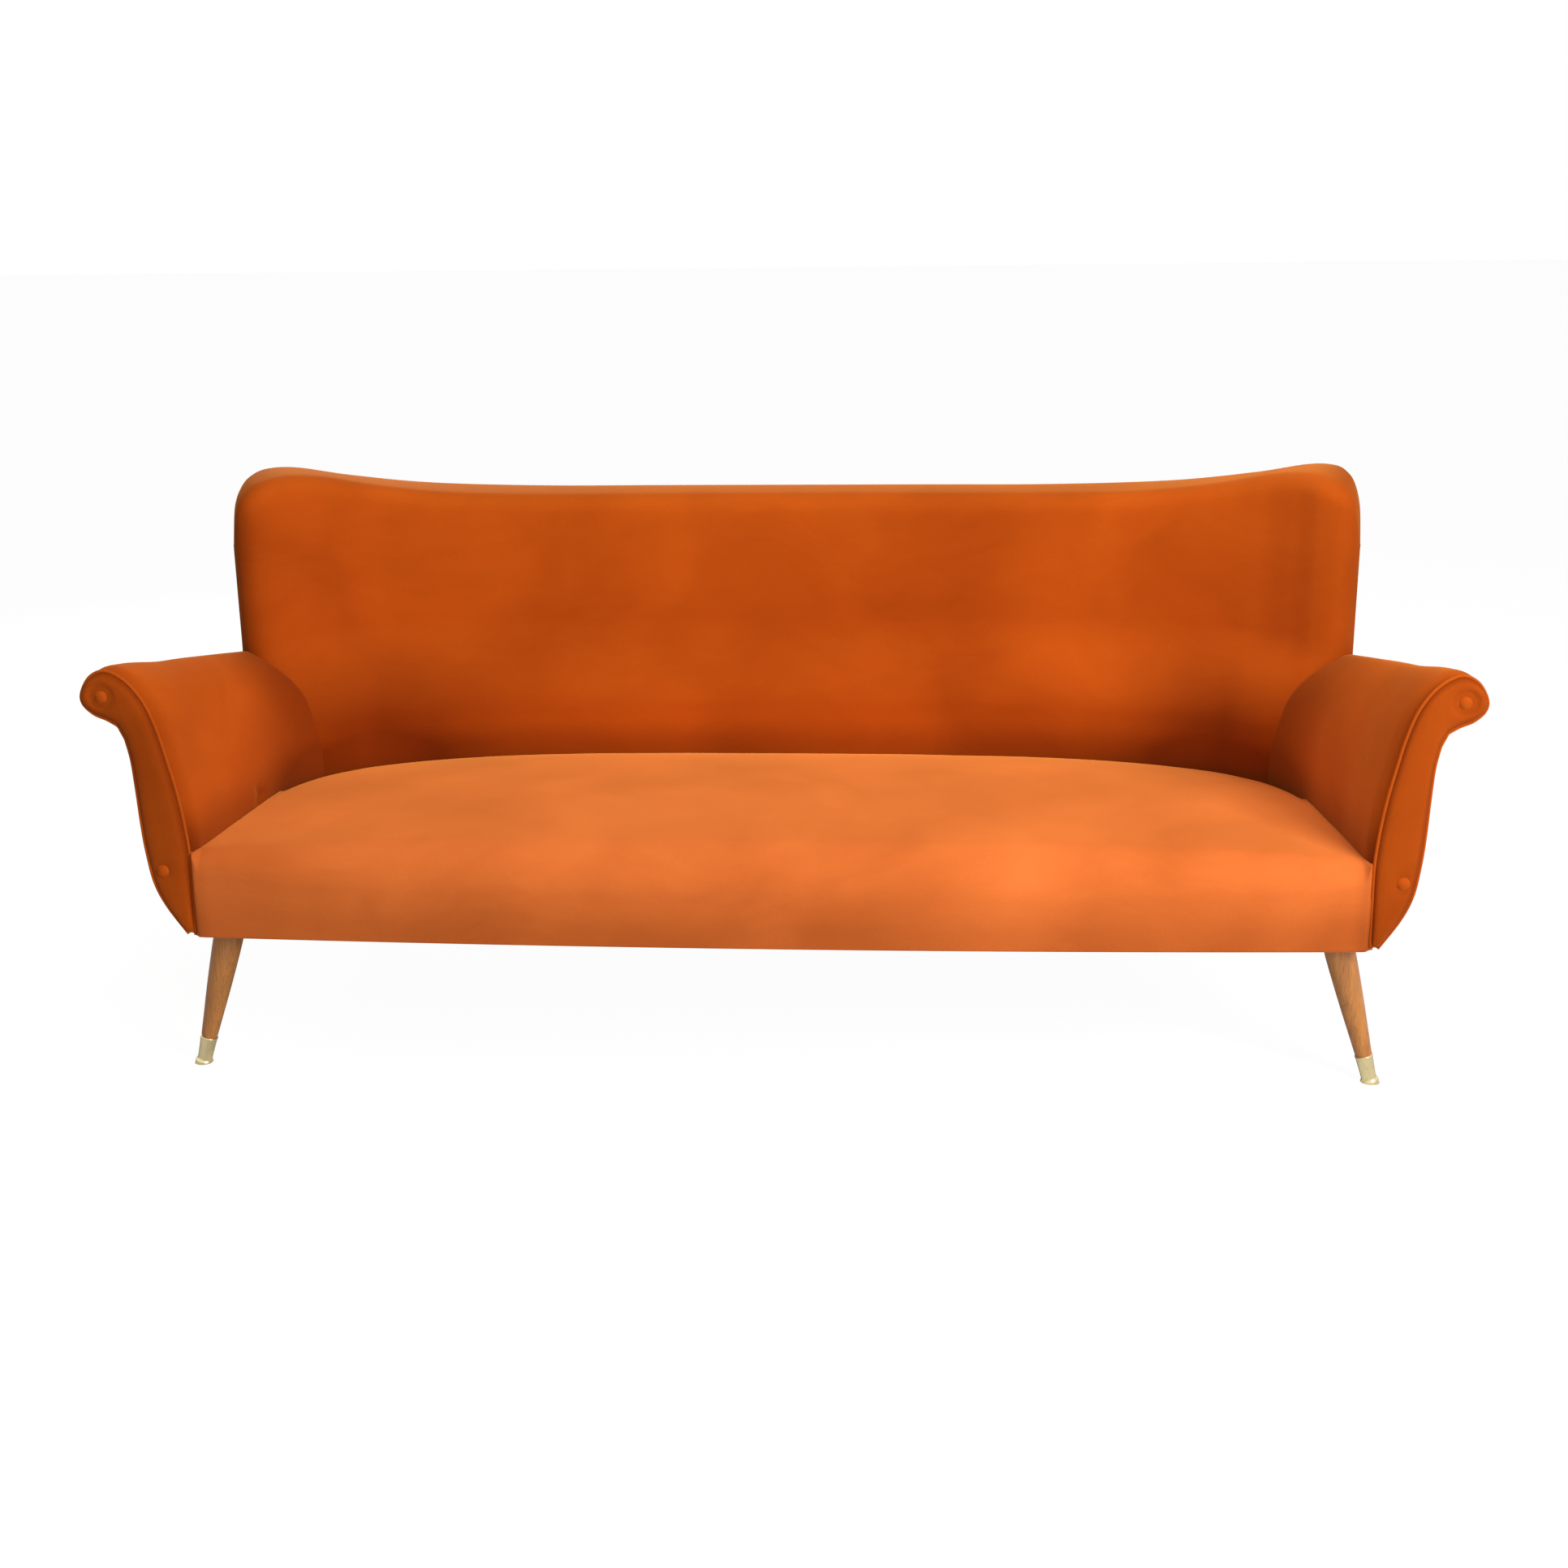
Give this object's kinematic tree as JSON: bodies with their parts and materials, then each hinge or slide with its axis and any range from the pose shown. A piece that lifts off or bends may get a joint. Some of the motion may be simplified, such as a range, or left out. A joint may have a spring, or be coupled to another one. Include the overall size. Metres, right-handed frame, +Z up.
{
  "type": "winged three-seat sofa",
  "caption": "Three-seat velvet sofa with a tight bench seat, forward-curving winged back, flared scroll arms and splayed brass-tipped legs.",
  "frame": {"origin": "on the floor, under the middle of the overall box", "axes": "+X to the right of someone looking at the front, +Y towards the back, +Z up; the front faces -Y"},
  "size_m": [2.0446, 0.7752, 0.87],
  "materials": {
    "velvet": "rust-orange cotton velvet with a soft sheen",
    "foam": "open-cell seat foam with wadding",
    "frame_wood": "planed beech, unfinished",
    "leg_wood": "satin varnished walnut-toned hardwood",
    "brass": "polished brass, lightly worn",
    "steel": "zinc plated",
    "lining": "black woven lining",
    "webbing": "woven jute webbing"
  },
  "bodies": {
    "root": {"inside_back_cover": "velvet", "outside_back_cover": "velvet", "seat_cover": "velvet", "back_pad": "foam", "seat_pad": "foam", "back_top_rail": "frame_wood", "front_rail": "frame_wood", "rear_rail": "frame_wood", "dust_cover": "lining", "seat_webbing": "webbing", "back_webbing": "webbing", "left_arm_cover": "velvet", "left_outside_arm_panel": "velvet", "left_arm_facing": "velvet", "left_scroll_button": "velvet", "left_lower_button": "velvet", "left_facing_piping": "velvet", "right_arm_cover": "velvet", "right_outside_arm_panel": "velvet", "right_arm_facing": "velvet", "right_scroll_button": "velvet", "right_lower_button": "velvet", "right_facing_piping": "velvet", "left_arm_pad": "foam", "right_arm_pad": "foam", "left_wing_board": "frame_wood", "left_outer_back_post": "frame_wood", "left_inner_back_post": "frame_wood", "left_side_rail": "frame_wood", "left_seat_stretcher": "frame_wood", "left_front_corner_block": "frame_wood", "left_rear_corner_block": "frame_wood", "left_arm_top_rail": "frame_wood", "left_arm_front_board": "frame_wood", "right_wing_board": "frame_wood", "right_outer_back_post": "frame_wood", "right_inner_back_post": "frame_wood", "right_side_rail": "frame_wood", "right_seat_stretcher": "frame_wood", "right_front_corner_block": "frame_wood", "right_rear_corner_block": "frame_wood", "right_arm_top_rail": "frame_wood", "right_arm_front_board": "frame_wood", "left_front_leg_plate": "steel", "left_rear_leg_plate": "steel", "right_front_leg_plate": "steel", "right_rear_leg_plate": "steel", "left_front_leg": "leg_wood", "left_rear_leg": "leg_wood", "right_front_leg": "leg_wood", "right_rear_leg": "leg_wood", "left_front_ferrule": "brass", "left_rear_ferrule": "brass", "right_front_ferrule": "brass", "right_rear_ferrule": "brass"}
  },
  "joints": []
}
